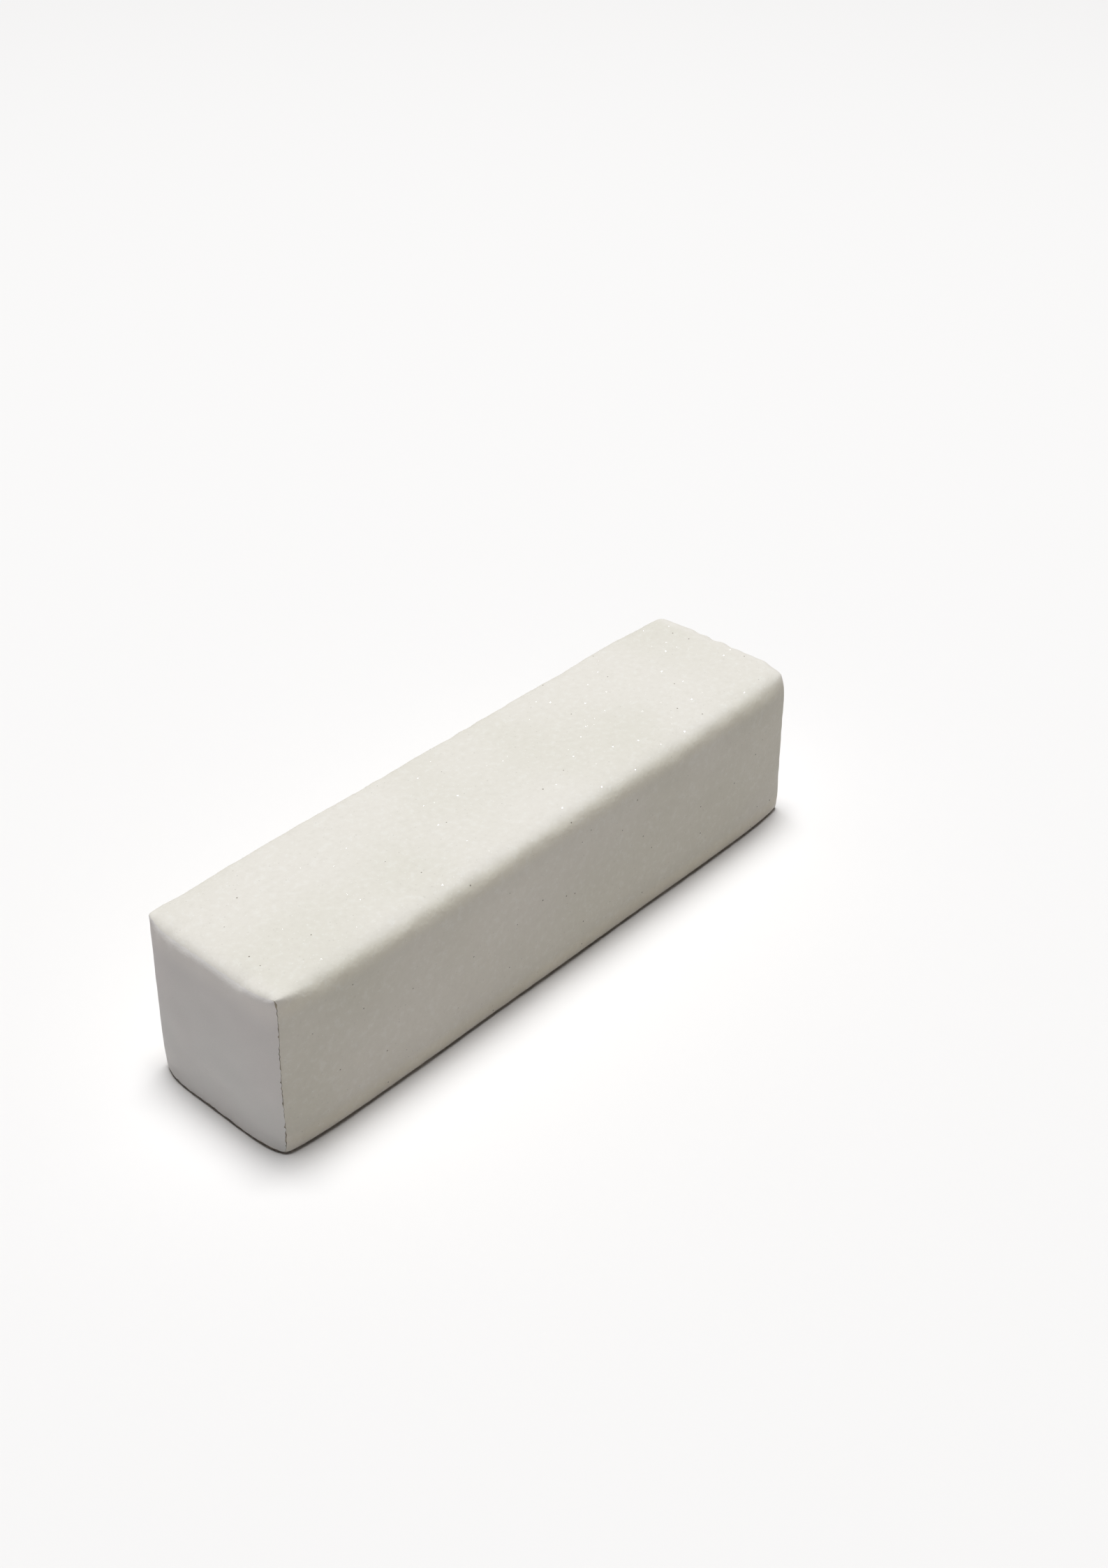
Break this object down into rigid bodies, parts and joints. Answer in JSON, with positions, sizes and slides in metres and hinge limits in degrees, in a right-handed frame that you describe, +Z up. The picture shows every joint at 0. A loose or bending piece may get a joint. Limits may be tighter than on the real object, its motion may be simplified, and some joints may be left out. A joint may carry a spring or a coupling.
{
  "type": "nail buffer block",
  "caption": "Rectangular nail buffer block: a soft white foam bar with fine white abrasive grit on its long sides and bare foam ends.",
  "frame": {"origin": "middle of the side that the block rests on", "axes": "+X along the length, +Y across the width, +Z up out of the resting side"},
  "size_m": [0.1, 0.025, 0.025],
  "materials": {
    "foam": "matte",
    "bond_resin": "matte",
    "white_grit": "matte"
  },
  "bodies": {
    "root": {"foam_core": "foam", "bond_coat_top": "bond_resin", "grit_coat_top": "white_grit", "bond_coat_front": "bond_resin", "grit_coat_front": "white_grit", "bond_coat_bottom": "bond_resin", "grit_coat_bottom": "white_grit", "bond_coat_back": "bond_resin", "grit_coat_back": "white_grit"}
  },
  "joints": []
}
